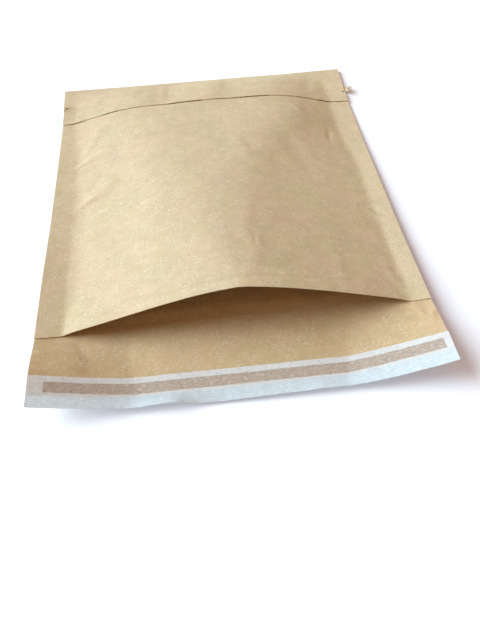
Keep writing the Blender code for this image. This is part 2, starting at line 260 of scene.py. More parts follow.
@dataclass(frozen=True)
class MailerForm:
    """The smooth surfaces that every sheet of the mailer follows, in metres.

    u runs from -1 at the left seam's edge to 1 at the right one's, and y along the mailer.
    Every method that takes u and y gives its value at each of their points.
    """

    half_width: float
    body_length: float
    bottom_flap: float
    liner_near: float
    liner_far: float
    side_seal: float = 0.022
    kraft: float = 0.0006
    clearance: float = 0.0003
    tape: float = 0.0003

    mouth_height: float = 0.0429
    middle_height: float = 0.0300
    middle_share: float = 0.4
    hem_height: float = 0.0160
    lap_height: float = 0.0099
    lap_share: float = 0.55
    mouth_draw: float = 0.0029
    hem_draw: float = 0.0022
    draw_run: float = 0.033
    side_pulls: tuple[float, ...] = (0.0028, 0.0010, 0.0020, 0.0020, 0.0)

    crest_line: tuple[Station, ...] = ((0.0, 0.0045), (0.152, -0.014), (0.3105, -0.010))
    foot_left: tuple[Station, ...] = (
        (0.0, 0.139), (0.02, 0.1385), (0.05, 0.139), (0.08, 0.139),
        (0.15, 0.140), (0.22, 0.142), (0.31, 0.150),
    )
    foot_right: tuple[Station, ...] = (
        (0.0, 0.1458), (0.06, 0.145), (0.15, 0.145), (0.19, 0.146),
        (0.22, 0.144), (0.25, 0.141), (0.31, 0.142),
    )
    knee_left: tuple[Station, ...] = ((0.0, 0.47), (0.152, 0.44), (0.3105, 0.70))
    knee_right: tuple[Station, ...] = (
        (0.0, 0.65), (0.03, 0.27), (0.152, 0.35), (0.225, 0.56), (0.265, 0.74), (0.3105, 0.78)
    )
    power_left: tuple[Station, ...] = ((0.0, 1.46), (0.152, 2.1), (0.3105, 3.6))
    power_right: tuple[Station, ...] = ((0.0, 1.36), (0.152, 2.5), (0.225, 3.3), (0.265, 4.5), (0.3105, 4.8))
    toe_left: tuple[Station, ...] = (
        (0.0, 0.01), (0.02, 0.03), (0.045, 0.12), (0.14, 0.15), (0.20, 0.08), (0.31, 0.12)
    )
    toe_right: tuple[Station, ...] = ((0.0, 0.05), (0.10, 0.03), (0.20, 0.05), (0.31, 0.13))

    flat_share: float = 0.56
    flap_flat_share: float = 0.49
    lift_curve: float = 1.25
    lifts_left: tuple[float, ...] = (0.0183, 0.0172, 0.0094, 0.0074, 0.0036, 0.0003, 0.0005)
    lifts_right: tuple[float, ...] = (0.0215, 0.0186, 0.0105, 0.0062, 0.0040, 0.0006, 0.0008)

    front_crumple: Crumple = Crumple(((0.034, 0.00016), (0.015, 0.00008), (0.0075, 0.000035)), 11)
    back_crumple: Crumple = Crumple(((0.030, 0.00014), (0.013, 0.00008), (0.007, 0.00004)), 29)
    flap_wave: float = 0.0003
    wave_size: float = 0.026
    wave_start: float = 0.02
    fold_calm: float = 0.012
    table_calm: float = 0.003
    bond_share: float = 0.05
    bond_start: float = 0.006
    mouth_blend: float = 0.008

    @property
    def hem(self) -> float:
        """Where the bottom flap's edge lies."""
        return self.body_length - self.bottom_flap

    @property
    def fold_radius(self) -> float:
        """Outer radius of the far fold, which holds the front panel with its gaps."""
        return (3 * self.kraft + 2 * self.clearance) / 2

    @property
    def fold_start(self) -> float:
        """Where the far fold starts to turn."""
        return self.body_length - self.fold_radius

    @property
    def seal_edge(self) -> float:
        """Inner edge of a side seal, as a share of the half width."""
        return 1 - self.side_seal / self.half_width

    @property
    def ply(self) -> float:
        """From the underside of one sheet to the underside of the sheet on it."""
        return self.kraft + self.clearance

    def reach(self, y: Points) -> Points:
        """Half the width at y: the bulging pocket draws its seams together."""
        places = (self.liner_near, 0.0, self.body_length * self.middle_share, self.hem, self.body_length)
        return self.half_width - smooth_curve(tuple(zip(places, self.side_pulls)), y)

    def seam_lift(self, u: Points, y: Points) -> Points:
        """Height of the nearer seam's outer edge above the table, at y."""
        near, far = self.liner_near, self.liner_far
        places = (near, far, 0.0, self.hem / 4, self.hem / 2, self.hem, self.body_length)
        left = smooth_curve(tuple(zip(places, self.lifts_left)), y)
        return np.where(u > 0, smooth_curve(tuple(zip(places, self.lifts_right)), y), left)

    def curl(self, u: Points, y: Points) -> Points:
        """Rise of the back wall: nothing in the middle, and a power curve up to the seams."""
        flat = smooth_curve(((self.liner_near, self.flap_flat_share), (0.0, self.flat_share)), y)
        return self.seam_lift(u, y) * np.clip((np.abs(u) - flat) / (1 - flat), 0, 1) ** self.lift_curve

    def pressed(self, u: Points, y: Points) -> Points:
        """Creases and crumple of the pocket's front and of the bottom flap, none at the far fold."""
        x, place = u * self.reach(y), y + self.draw(u, y)
        creases = sum(crease.relief(x, place) for crease in FRONT_CREASES + LAP_CREASES)
        return (creases + self.front_crumple.relief(x, place)) * ease((self.body_length - y) / self.fold_calm)

    def back(self, u: Points, y: Points) -> Points:
        """Underside of the back wall, never below the table.

        The curl, plus the relief of the front where a side seal bonds the two, plus the
        flap's own creases and a slight wave in front of the mouth.
        """
        x = u * self.reach(y)
        curl = self.curl(u, y)
        off_table = ease(curl / self.table_calm)
        seal = ease((np.abs(u) - self.seal_edge + self.bond_share) / self.bond_share)
        seal = seal * ease(y / self.bond_start)
        creases = sum(crease.relief(x, y) for crease in BACK_CREASES)
        own = (creases + self.back_crumple.relief(x, y)) * ease(0.5 - y / self.mouth_blend)
        wave = self.flap_wave * (1 + soft_noise(x, y, self.wave_size, 5)) * ease(-y / self.wave_start)
        return np.maximum(curl + off_table * (seal * self.pressed(u, y) + own) + wave, 0)

    def foot(self, right: Points, y: Points) -> Points:
        """Where the bulge meets the side seal on the right or the left of the crest."""
        return np.where(right, smooth_curve(self.foot_right, y), -smooth_curve(self.foot_left, y))

    def arch(self, u: Points, y: Points) -> Points:
        """The pillow's rise, 1 on the crest and 0 at the feet.

        From the crest a power curve falls to a knee, where its slope is full, and from there a
        straight slope runs on to the foot. The knees lie furthest out at the flat-topped hem.
        The last of the height, the toe, fades out by a square.

        Args:
            u: shares of the half width, from the left seam's edge to the right one's.
            y: places along, in metres.

        Returns:
            The share of the crest's rise over the feet at each place.
        """
        across = u * self.half_width
        crest = smooth_curve(self.crest_line, y)
        right = across > crest
        share = np.clip((across - crest) / (self.foot(right, y) - crest), 0, 1)
        knee = np.where(right, smooth_curve(self.knee_right, y), smooth_curve(self.knee_left, y))
        power = np.where(right, smooth_curve(self.power_right, y), smooth_curve(self.power_left, y))
        rounded = knee / power * np.clip(share / knee, 0, 1) ** power
        left = 1 - (rounded + np.clip(share - knee, 0, 1)) / (knee / power + 1 - knee)
        toe = np.where(right, smooth_curve(self.toe_right, y), smooth_curve(self.toe_left, y))
        return np.where(left < toe, left**2 / (2 * toe), left - toe / 2) / (1 - toe / 2)

    def draw(self, u: Points, y: Points) -> Points:
        """How far the arch draws the front panel towards the far fold, less beside its seals."""
        pull = smooth_curve(((0.0, self.mouth_draw), (self.hem, self.hem_draw), (self.fold_start, 0.0)), y)
        return pull * ease((1 - np.abs(u)) * self.half_width / self.draw_run)

    def front(self, u: Points, y: Points) -> Points:
        """Underside of the front panel: on the back wall along the seals, arched between them."""
        right = u * self.half_width > smooth_curve(self.crest_line, y)
        foot = self.curl(self.foot(right, y) / self.half_width, y) + self.ply
        crest = smooth_curve(
            (
                (0.0, self.mouth_height),
                (self.body_length * self.middle_share, self.middle_height),
                (self.hem, self.hem_height),
                (self.hem + self.bottom_flap * self.lap_share, self.lap_height),
                (self.fold_start, self.ply),
            ),
            y,
        )
        blend = self.arch(u, y)
        arched = foot * (1 - blend) + crest * blend + self.pressed(u, y)
        return np.maximum(arched, self.back(u, y) + self.ply)

    def pad_room(self, u: Points, y: Points) -> Points:
        """Thickness that each of two pads may have between the panels, with all their gaps."""
        return (self.front(u, y) - self.back(u, y) - self.kraft - 3 * self.clearance) / 2

    def on_back(self, u: Points, y: Points, lift: Points | float) -> Points:
        """Points above the back wall's underside by lift."""
        return np.stack([u * self.reach(y), y, self.back(u, y) + lift], axis=-1)

    def on_front(self, u: Points, y: Points, lift: Points | float) -> Points:
        """Points above the front panel's underside by lift."""
        return np.stack([u * self.reach(y), y + self.draw(u, y), self.front(u, y) + lift], axis=-1)


@dataclass
class Sheet:
    """One closed sheet between two grids of points with the same rows and columns."""

    under: Points
    over: Points
    flat: Points
    keep: Points | None = None

    def faces(self) -> tuple[Points, Points]:
        """Faces of the sheet, as point numbers with the under side's points first.

        Every kept cell gives a quad on each side, and every edge between a kept cell and a
        cut one, or the outside, gives a wall.

        Returns:
            The quads of both sides, and the walls.
        """
        rows, cols = self.under.shape[:2]
        size = rows * cols
        index = np.arange(size).reshape(rows, cols)
        corners = (index[:-1, :-1], index[:-1, 1:], index[1:, 1:], index[1:, :-1])
        keep = np.ones((rows - 1, cols - 1), bool) if self.keep is None else self.keep
        a, b, c, d = (corner[keep] for corner in corners)
        sides = np.concatenate([np.stack([a, d, c, b], -1), np.stack([a, b, c, d], -1) + size])
        around = np.pad(keep, 1)
        walls = []
        for number, (down, right) in enumerate(((-1, 0), (0, 1), (1, 0), (0, -1))):
            beside = around[1 + down : rows + down, 1 + right : cols + right]
            start, end = (corners[(number + n) % 4][keep & ~beside] for n in (0, 1))
            walls.append(np.stack([start, end, end + size, start + size], -1))
        return sides, np.concatenate(walls)


def paper_object(name: str, sheets: list[Sheet], finishes: tuple[Material, ...]) -> bpy.types.Object:
    """A mesh object of one or more closed sheets, at the origin with its place in its mesh.

    Args:
        name: the piece's name.
        sheets: the closed sheets, which stay separate shells.
        finishes: materials of the under side, the upper side and the cut edges, or one for all.

    Returns:
        The object, with a UV map in metres of the paper laid flat.
    """
    points, flat, quads, rims, first = [], [], [], [], 0
    for sheet in sheets:
        sides, walls = sheet.faces()
        used, renumbered = np.unique(np.concatenate([sides, walls]), return_inverse=True)
        renumbered = renumbered.reshape(-1, 4) + first
        both = np.concatenate([sheet.under.reshape(-1, 3), sheet.over.reshape(-1, 3)])
        plan = np.concatenate([sheet.flat.reshape(-1, 2)] * 2)
        points.append(both[used])
        flat.append(plan[used])
        quads.append(renumbered[: len(sides)])
        rims.append(renumbered[len(sides) :])
        first += len(used)
    faces = np.concatenate(quads + rims)
    mesh = bpy.data.meshes.new(name)
    mesh.from_pydata(np.concatenate(points).tolist(), [], faces.tolist())
    if len(finishes) > 1:
        halves = [np.repeat([0, 1], len(part) // 2) for part in quads]
        walls = np.full(sum(len(part) for part in rims), 2)
        mesh.polygons.foreach_set("material_index", np.concatenate(halves + [walls]).astype(np.int32))
    layer = mesh.uv_layers.new(name="flat")
    layer.data.foreach_set("uv", np.concatenate(flat)[faces.ravel()].astype(np.float32).ravel())
    mesh.shade_smooth()
    mesh.set_sharp_from_angle(angle=math.radians(40))
    for finish in finishes:
        mesh.materials.append(finish)
    mesh.update()
    obj = bpy.data.objects.new(name, mesh)
    bpy.context.scene.collection.objects.link(obj)
    return obj


def place(obj: bpy.types.Object, node: str, slot: str) -> bpy.types.Object:
    """Rides the piece on the mailer's body, in place of a CAD node, which it hides."""
    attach(obj, BODY)
    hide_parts(node)
    LOG.info("%s: %d faces for %s", obj.name, len(obj.data.polygons), node)
    return obj


def linear(hex_colour: str) -> tuple[float, float, float, float]:
    """Linear colour of an sRGB hex value, with alpha 1."""
    srgb = np.array([int(hex_colour[i : i + 2], 16) for i in (1, 3, 5)]) / 255
    low, high = srgb / 12.92, ((srgb + 0.055) / 1.055) ** 2.4
    red, green, blue = np.where(srgb <= 0.04045, low, high).tolist()
    return red, green, blue, 1.0


def add_node(tree: Tree, kind: str, inputs: dict | None = None, **settings: object) -> bpy.types.Node:
    """Adds a node with its settings and its inputs.

    Args:
        tree: the material's or world's node tree.
        kind: the node's type name.
        inputs: a value, or another node's output socket, for each input by name or number.
        settings: the node's own attributes.

    Returns:
        The node.
    """
    node = tree.nodes.new(kind)
    for name, value in settings.items():
        setattr(node, name, value)
    for key, value in (inputs or {}).items():
        if isinstance(value, Socket):
            tree.links.new(value, node.inputs[key])
        else:
            node.inputs[key].default_value = value
    return node


def new_material(name: str) -> tuple[Material, Tree, bpy.types.Node]:
    """An empty node material with its output, tree and name."""
    material = bpy.data.materials.new(name)
    material.use_nodes = True
    tree = material.node_tree
    tree.nodes.clear()
    return material, tree, add_node(tree, "ShaderNodeOutputMaterial")


# The colour mix node's sockets have no names of their own, only these numbers.
MIX_A, MIX_B, MIX_RESULT = 6, 7, 2


@dataclass(frozen=True)
class KraftFinish:
    """Unbleached kraft paper off the machine, from recycled fibre.

    To the eye it is a matt warm tan that drifts a little between olive and pink, with short
    curled pale fibres, sparse dark specks and a fine grain across the web.
    """

    name: str
    base: str
    olive: str
    pink: str
    fibre: str
    speck: str
    roughness: float = 0.80
    cloud_mm: float = 26.0
    fibre_mm: float = 3.0  # real fibres are 0.05 mm wide, drawn ten times as wide so that they show
    fibre_width: float = 0.11
    fibre_share: float = 0.55
    speck_mm: float = 5.5
    grain_mm: float = 0.9
    fibre_depth: float = 0.00005

    def material(self) -> Material:
        """Builds the material, with its patterns on the paper's flat UV map."""
        material, tree, output = new_material(self.name)
        coords = add_node(tree, "ShaderNodeUVMap", uv_map="flat")
        sheet = add_node(
            tree, "ShaderNodeVectorMath", {0: coords.outputs[0], "Scale": 1 / MILLIMETRE}, operation="SCALE"
        ).outputs[0]
        cloud = self.pattern(tree, sheet, self.cloud_mm, 2.0, 0.34, 0.66)
        tint = self.pattern(tree, sheet, self.cloud_mm * 1.7, 1.0, 0.38, 0.62, seed=7.0)
        grain = self.pattern(tree, sheet, self.grain_mm, 3.0, 0.25, 0.75, seed=3.0)
        web = add_node(tree, "ShaderNodeMapping", {0: sheet, "Scale": (0.12, 1.0, 1.0)})
        lines = self.pattern(tree, web.outputs[0], self.grain_mm * 1.6, 1.0, 0.3, 0.7, seed=5.0)
        drift = self.blend(tree, tint, self.olive, self.pink)
        paper = self.blend(tree, 0.42, drift, self.base)
        smudge = self.pattern(tree, sheet, self.cloud_mm * 0.3, 3.0, 0.3, 0.7, seed=11.0)
        paper = self.shade(tree, paper, cloud, 0.965, 1.025)
        paper = self.shade(tree, paper, smudge, 0.965, 1.03)
        paper = self.shade(tree, paper, grain, 0.955, 1.035)
        paper = self.shade(tree, paper, lines, 0.985, 1.012)
        near = self.strands(tree, sheet, 9.0)
        fibres = add_node(
            tree, "ShaderNodeMath", {0: near, 1: self.strands(tree, sheet, 13.0)}, operation="MAXIMUM"
        ).outputs[0]
        clumps = self.pattern(tree, sheet, self.fibre_mm * 3.5, 1.0, 0.36, 0.62, seed=17.0)
        showing = add_node(tree, "ShaderNodeMapRange", {0: clumps, 3: 0.1, 4: self.fibre_share}).outputs[0]
        showing = add_node(tree, "ShaderNodeMath", {0: fibres, 1: showing}, operation="MULTIPLY").outputs[0]
        paper = self.blend(tree, showing, paper, self.fibre)
        paper = self.blend(tree, self.specks(tree, sheet), paper, self.speck)
        heights = add_node(tree, "ShaderNodeMath", {0: grain, 1: fibres}, operation="ADD").outputs[0]
        relief = {"Height": heights, "Distance": self.fibre_depth, "Strength": 0.8}
        bump = add_node(tree, "ShaderNodeBump", relief)
        dull = add_node(
            tree, "ShaderNodeMapRange", {0: grain, 3: self.roughness - 0.05, 4: self.roughness + 0.07}
        ).outputs[0]
        shader = add_node(
            tree,
            "ShaderNodeBsdfPrincipled",
            {"Base Color": paper, "Roughness": dull, "Specular IOR Level": 0.35, "Normal": bump.outputs[0]},
        )
        tree.links.new(shader.outputs[0], output.inputs["Surface"])
        return material

    def specks(self, tree: Tree, sheet: Socket) -> Socket:
        """Sparse dark specks, up to a half on each: small dots in some cells of a scatter."""
        scatter = {"Vector": sheet, "Scale": 1 / self.speck_mm}
        dots = add_node(tree, "ShaderNodeTexVoronoi", scatter, voronoi_dimensions="2D")
        chosen = {0: dots.outputs["Color"], 1: 0.62, 2: 0.82}
        chosen = add_node(tree, "ShaderNodeMapRange", chosen).outputs[0]
        inside = {0: dots.outputs[0], 1: 0.14, 2: 0.05, 4: 0.5}
        inside = add_node(tree, "ShaderNodeMapRange", inside).outputs[0]
        return add_node(tree, "ShaderNodeMath", {0: inside, 1: chosen}, operation="MULTIPLY").outputs[0]

    def strands(self, tree: Tree, sheet: Socket, seed: float) -> Socket:
        """Short curled fibres, 1 on each: thin level lines of one noise, broken up by another."""
        field_noise = self.pattern(tree, sheet, self.fibre_mm, 1.0, 0.0, 1.0, seed=seed)
        off_line = add_node(tree, "ShaderNodeMath", {0: field_noise, 1: 0.5}, operation="SUBTRACT").outputs[0]
        off_line = add_node(tree, "ShaderNodeMath", {0: off_line}, operation="ABSOLUTE").outputs[0]
        lines = add_node(tree, "ShaderNodeMapRange", {0: off_line, 1: self.fibre_width, 2: 0.0}).outputs[0]
        breaks = self.pattern(tree, sheet, self.fibre_mm * 0.8, 0.0, 0.46, 0.60, seed=seed + 1)
        return add_node(tree, "ShaderNodeMath", {0: lines, 1: breaks}, operation="MULTIPLY").outputs[0]

    @staticmethod
    def pattern(
        tree: Tree,
        coords: Socket,
        size_mm: float,
        detail: float,
        low: float,
        high: float,
        seed: float = 0.0,
    ) -> Socket:
        """Noise of one size, moved by its seed and stretched so that low becomes 0 and high 1."""
        shift = (seed * 37, seed * 53, 0)
        moved = add_node(tree, "ShaderNodeVectorMath", {0: coords, 1: shift}, operation="ADD")
        noise = add_node(
            tree,
            "ShaderNodeTexNoise",
            {"Vector": moved.outputs[0], "Scale": 1 / size_mm, "Detail": detail, "Roughness": 0.55},
            noise_dimensions="2D",
        )
        return add_node(tree, "ShaderNodeMapRange", {0: noise.outputs[0], 1: low, 2: high}).outputs[0]

    @staticmethod
    def blend(
        tree: Tree,
        share: Socket | float,
        first: Socket | str,
        second: Socket | str,
    ) -> Socket:
        """A colour that runs from the first to the second as share goes from 0 to 1."""
        ends = [linear(c) if isinstance(c, str) else c for c in (first, second)]
        mix = add_node(tree, "ShaderNodeMix", {0: share, MIX_A: ends[0], MIX_B: ends[1]}, data_type="RGBA")
        return mix.outputs[MIX_RESULT]

    @staticmethod
    def shade(
        tree: Tree,
        colour: Socket,
        share: Socket,
        dark: float,
        light: float,
    ) -> Socket:
        """The colour times a factor from dark to light as share goes from 0 to 1."""
        factor = add_node(tree, "ShaderNodeMapRange", {0: share, 3: dark, 4: light}).outputs[0]
        return add_node(
            tree, "ShaderNodeVectorMath", {0: colour, "Scale": factor}, operation="SCALE"
        ).outputs[0]


@dataclass(frozen=True)
class GlassineFinish:
    """Supercalendered glassine release paper with a silicone coat.

    To the eye it is a satin, milky, faintly blue sheet with a cloudy formation. Over air it
    hides what is under it, and where it wets onto the glue it turns half clear.
    """

    name: str = "glassine"
    over_kraft: str = "#EAEAE8"
    overhang: str = "#DCE8EE"
    on_glue: str = "#D8CABB"
    fleck: str = "#FBFDFF"
    cloud_mm: float = 7.0
    fleck_mm: float = 1.3
    opacity: float = 0.93
    opacity_on_glue: float = 0.60
    soft_edge: float = 0.0005

    def material(self, strip: "ClosureStrip") -> Material:
        """Builds the material, with its zones placed by the strip's own sizes."""
        material, tree, output = new_material(self.name)
        coords = add_node(tree, "ShaderNodeUVMap", uv_map="flat")
        place_on = add_node(tree, "ShaderNodeSeparateXYZ", {0: coords.outputs[0]})
        x, y = place_on.outputs[0], place_on.outputs[1]
        sheet = add_node(
            tree, "ShaderNodeVectorMath", {0: coords.outputs[0], "Scale": 1 / MILLIMETRE}, operation="SCALE"
        ).outputs[0]
        borders = (
            (y, strip.flap_edge, -1),
            (y, strip.glue_near, 1),
            (y, strip.glue_far, -1),
            (x, strip.glue_left, 1),
            (x, strip.glue_right, -1),
        )
        zones = []
        for value, edge, way in borders:
            band = {0: value, 1: edge - way * self.soft_edge, 2: edge + way * self.soft_edge}
            zones.append(add_node(tree, "ShaderNodeMapRange", band).outputs[0])
        hanging, wet = zones[:2]
        for zone in zones[2:]:
            wet = add_node(tree, "ShaderNodeMath", {0: wet, 1: zone}, operation="MULTIPLY").outputs[0]
        cloud = KraftFinish.pattern(tree, sheet, self.cloud_mm, 4.0, 0.3, 0.7)
        drawn = add_node(tree, "ShaderNodeMapping", {0: sheet, "Scale": (0.4, 1.0, 1.0)}).outputs[0]
        flecks = KraftFinish.pattern(tree, drawn, self.fleck_mm, 2.0, 0.52, 0.72, seed=4.0)
        pores = KraftFinish.pattern(tree, drawn, self.fleck_mm * 1.4, 2.0, 0.50, 0.74, seed=6.0)
        paper = KraftFinish.blend(tree, hanging, self.over_kraft, self.overhang)
        paper = KraftFinish.blend(tree, wet, paper, self.on_glue)
        paper = KraftFinish.shade(tree, paper, cloud, 0.95, 1.04)
        paper = KraftFinish.shade(tree, paper, pores, 1.0, 0.88)
        share = add_node(tree, "ShaderNodeMath", {0: flecks, 1: 0.7}, operation="MULTIPLY").outputs[0]
        paper = KraftFinish.blend(tree, share, paper, self.fleck)
        hides = [1 - math.sqrt(1 - whole) for whole in (self.opacity, self.opacity_on_glue)]
        alpha = add_node(tree, "ShaderNodeMapRange", {0: wet, 3: hides[0], 4: hides[1]}).outputs[0]
        bump = add_node(tree, "ShaderNodeBump", {"Height": cloud, "Distance": 0.00006, "Strength": 0.7})
        shader = add_node(
            tree,
            "ShaderNodeBsdfPrincipled",
            {"Base Color": paper, "Roughness": 0.46, "Alpha": alpha, "Normal": bump.outputs[0]},
        )
        tree.links.new(shader.outputs[0], output.inputs["Surface"])
        return material


@dataclass(frozen=True)
class GlueFinish:
    """Hot-melt pressure-sensitive glue, rolled on and dried.

    To the eye it is a brownish film, smoother than the paper, with a streaky drawn surface.
    """

    name: str = "closure_glue"
    base: str = "#BFA284"
    streak: str = "#A78B6C"

    def material(self) -> Material:
        """Builds the material, streaked along the band."""
        material, tree, output = new_material(self.name)
        coords = add_node(tree, "ShaderNodeUVMap", uv_map="flat")
        drawn = add_node(tree, "ShaderNodeMapping", {0: coords.outputs[0], "Scale": (60.0, 700.0, 1.0)})
        streaks = KraftFinish.pattern(tree, drawn.outputs[0], 1.0, 3.0, 0.3, 0.7)
        colour = KraftFinish.blend(tree, streaks, self.base, self.streak)
        bump = add_node(tree, "ShaderNodeBump", {"Height": streaks, "Distance": 0.00004, "Strength": 0.6})
        shader = add_node(
            tree,
            "ShaderNodeBsdfPrincipled",
            {"Base Color": colour, "Roughness": 0.38, "Normal": bump.outputs[0]},
        )
        tree.links.new(shader.outputs[0], output.inputs["Surface"])
        return material


KRAFT = KraftFinish(
    "kraft", base="#D2BE9A", olive="#CFBE97", pink="#D5BD9C", fibre="#EADFC8", speck="#A08664"
)
KRAFT_INSIDE = KraftFinish(
    "kraft_inner_side", base="#CAB087", olive="#C8B086", pink="#CDAF89", fibre="#E2D3B4", speck="#97794F"
)
KRAFT_EDGE = KraftFinish(
    "kraft_cut_edge", base="#EBDFC8", olive="#E9DFC6", pink="#ECDEC8", fibre="#F7F1E4", speck="#CDB898"
)
LINING = KraftFinish(
    "kraft_lining",
    base="#C9B08A",
    olive="#C6B189",
    pink="#CCAE8B",
    fibre="#E2D3B4",
    speck="#977A56",
    roughness=0.88,
    fibre_depth=0.00012,
)
TAPE_PAPER = KraftFinish(
    "tear_tape", base="#DDCBAA", olive="#DACAA7", pink="#DEC8AA", fibre="#F1E8D6", speck="#A78C68"
)


@dataclass
class KraftShell:
    """The two kraft sheets: the wrap with both flaps, and the front panel."""

    form: MailerForm
    flap_edge: float
    tape_line: float
    tape_half: float
    step: float = 0.0019
    nick_left: float = 0.0415
    nick_right: float = 0.0512
    nick_depths: tuple[float, float] = (0.0066, 0.0034)
    nick_widths: tuple[float, float] = (0.0018, 0.0018)
    nick_arch: float = 0.0012
    nick_lip: float = 0.0026
    nick_lip_reach: float = 0.006
    nick_lip_spread: float = 1.5
    nick_arch_run: float = 0.004
    fine_until: float = 0.04
    fold_steps: int = 12
    hem_reach: float = 0.014
    hem_open: float = 0.00062
    hem_gaps: tuple[Station, ...] = (
        (-0.158, 0.55), (-0.148, 1.0), (-0.139, 1.0), (-0.134, 0.35), (-0.117, 0.35), (-0.110, 1.0),
        (-0.102, 1.0), (-0.094, 0.4), (-0.070, 0.3), (-0.044, 0.5), (-0.036, 1.25), (-0.008, 1.25),
        (-0.002, 0.3), (0.003, 0.35), (0.010, 0.8), (0.038, 0.9), (0.046, 1.2), (0.066, 1.1),
        (0.076, 0.45), (0.104, 0.5), (0.122, 0.6), (0.128, 1.2), (0.137, 1.2), (0.142, 0.7), (0.158, 0.8),
    )

    def columns(self) -> Points:
        """Even columns from the left seam's edge to the right one's."""
        return np.linspace(-1, 1, round(2 * self.form.half_width / self.step) + 1)

    def rows(self, start: float, end: float, step: float) -> Points:
        """Even rows from start to end."""
        return np.linspace(start, end, max(2, round(abs(end - start) / step) + 1))

    def lap_gap(self, u: Points, y: Points) -> Points:
        """Space under the bottom flap.

        It is room for the tape, and at the hem the open and closed stretches where the glued
        edge has sprung up or lies tight. The paper past the left nick lifts to a small lip.

        Args:
            u: shares of the half width.
            y: places along, in metres.

        Returns:
            The gap between the front panel and the flap at each place.
        """
        form = self.form
        room = form.tape + 2 * form.clearance
        rise = ease((form.fold_start - y) / (form.fold_start - self.tape_line - self.tape_half))
        settled = form.clearance + (room - form.clearance) * rise
        hem_gap = smooth_curve(self.hem_gaps, u * form.half_width) * self.hem_open
        near_hem = ease(1 - (y - form.hem) / self.hem_reach)
        past_nick = y - (form.body_length - self.nick_left)
        lip = ease(1 - np.abs(past_nick - self.nick_lip_reach / 4) / self.nick_lip_reach)
        from_edge = (1 + u) * form.half_width / self.nick_depths[0]
        lip = self.nick_lip * lip * ease(1 - from_edge / self.nick_lip_spread)
        return settled * (1 - near_hem) + hem_gap * near_hem + lip

    def lap_rows(self) -> Points:
        """Rows of the bottom flap from the fold to the hem, with close pairs at the nicks."""
        form = self.form
        marks = [form.fold_start]
        for line, width in sorted(zip((self.nick_left, self.nick_right), self.nick_widths)):
            marks += [form.body_length - line + width / 2, form.body_length - line - width / 2]
        marks.append(form.hem)
        runs = [self.rows(a, b, self.step)[:-1] for a, b in zip(marks, marks[1:])]
        return np.concatenate(runs + [[form.hem]])

    def nick_bend(self, u: Points, y: Points) -> Points:
        """Arches the left nick: a hump along Y, highest halfway in from the seam.

        Across, it is f times 1.15 less f, times four and over 1.3, where f is the share of
        the nick's depth. Along, it is a bell.
        """
        from_edge = (u + 1) * self.form.half_width / self.nick_depths[0]
        past_nick = y - self.form.body_length + self.nick_left
        near = np.exp(-((past_nick / self.nick_arch_run) ** 2))
        return self.nick_arch * np.clip(4 * from_edge * (1.15 - from_edge) / 1.3, 0, 1) * near

    def keep_cells(self, u: Points, y: Points, lap_start: int) -> Points:
        """All cells of the wrap but those that the two tear nicks cut out.

        Args:
            u: the columns.
            y: the rows.
            lap_start: number of the first row on the bottom flap.

        Returns:
            True for each cell that stays.
        """
        form = self.form
        keep = np.ones((len(y) - 1, len(u) - 1), bool)
        middle_u, middle_y = (u[1:] + u[:-1]) / 2, (y[1:] + y[:-1]) / 2
        in_lap = np.arange(len(middle_y)) >= lap_start
        lines = (self.nick_left, self.nick_right)
        for side, line, depth, width in zip((-1, 1), lines, self.nick_depths, self.nick_widths):
            row = in_lap & (np.abs(middle_y - form.body_length + line) < width / 2)
            column = (1 - side * middle_u) * form.half_width < depth
            keep[np.ix_(row, column)] = False
        return keep

    def wrap(self) -> Sheet:
        """Closure flap, back wall, far fold and bottom flap as one sheet.

        The far fold is a half circle about a line at the front panel's height.

        Returns:
            The sheet, with the nicks cut out.
        """
        form = self.form
        across = self.columns()
        flap = self.rows(self.flap_edge, self.fine_until, self.step)
        wall = self.rows(self.fine_until, form.fold_start, 2 * self.step)
        u, y = np.meshgrid(across, np.concatenate([flap[:-1], wall]))
        turn = np.linspace(-0.5, 0.5, self.fold_steps + 1)[1:-1] * math.pi
        fold_u, fold_turn = np.meshgrid(across, turn)
        axis = form.on_back(fold_u, np.full_like(fold_u, form.fold_start), form.fold_radius)
        away = np.stack([np.zeros_like(fold_turn), np.cos(fold_turn), np.sin(fold_turn)], axis=-1)
        lap = self.lap_rows()
        lap_u, lap_y = np.meshgrid(across, lap)
        gap = form.kraft + self.lap_gap(lap_u, lap_y)
        bent = np.stack([np.zeros_like(lap_u), self.nick_bend(lap_u, lap_y), np.zeros_like(lap_u)], -1)
        outer = [form.on_back(u, y, 0), axis + form.fold_radius * away]
        inner = [form.on_back(u, y, form.kraft), axis + (form.fold_radius - form.kraft) * away]
        outer.append(form.on_front(lap_u, lap_y, gap + form.kraft) + bent)
        inner.append(form.on_front(lap_u, lap_y, gap) + bent)
        round_fold = form.fold_start + form.fold_radius * (turn + math.pi / 2)
        past_fold = form.fold_start + form.fold_radius * math.pi + form.fold_start - lap
        length = np.concatenate([np.concatenate([y[:, 0], round_fold]), past_fold])
        flat = np.stack(np.meshgrid(across * form.half_width, length), axis=-1)
        stations = np.concatenate([y[:, 0], np.full(len(turn), form.body_length), lap])
        keep = self.keep_cells(across, stations, len(y) + len(turn))
        return Sheet(np.concatenate(outer), np.concatenate(inner), flat, keep)

    def front_sheet(self) -> Sheet:
        """The front panel, from the mouth to the far fold."""
        form = self.form
        u, y = np.meshgrid(self.columns(), self.rows(0, form.fold_start, self.step))
        flat = np.stack([u * form.half_width + APART, y], axis=-1)
        return Sheet(form.on_front(u, y, 0), form.on_front(u, y, form.kraft), flat)

